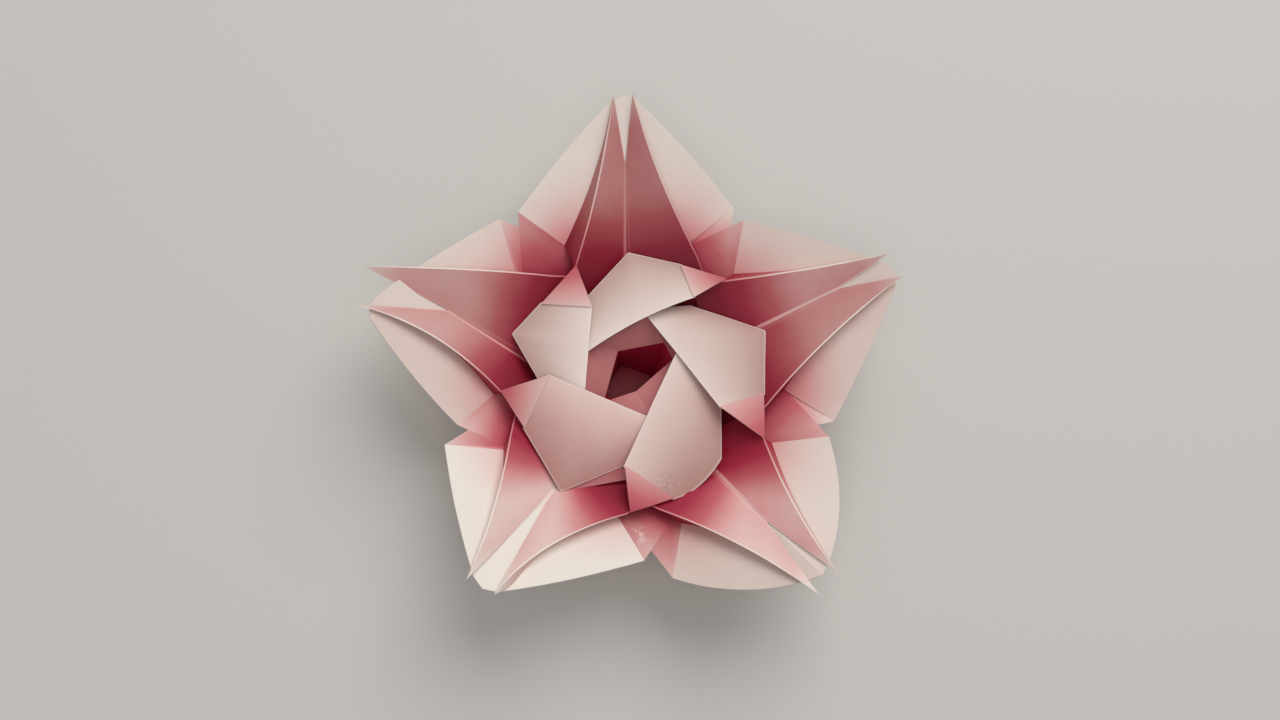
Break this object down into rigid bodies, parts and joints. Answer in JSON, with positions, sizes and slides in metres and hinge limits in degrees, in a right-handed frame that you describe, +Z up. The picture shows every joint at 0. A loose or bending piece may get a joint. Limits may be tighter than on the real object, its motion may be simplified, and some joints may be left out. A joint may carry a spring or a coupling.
{
  "type": "origami star flower",
  "caption": "Folded paper star flower with keeled petals, standing pleated fins and a pinwheel rose round an open well.",
  "frame": {"origin": "on the flower's axis, at the flat floor under the cup that it rests on", "axes": "+Z up along the flower's axis, +Y along the middle line of one petal"},
  "size_m": [0.105, 0.0999, 0.0243],
  "materials": {
    "paper": "matte folded paper, cream on the wide panels and crimson to pink in the pleats"
  },
  "bodies": {
    "root": {"star_flower": "paper"}
  },
  "joints": []
}
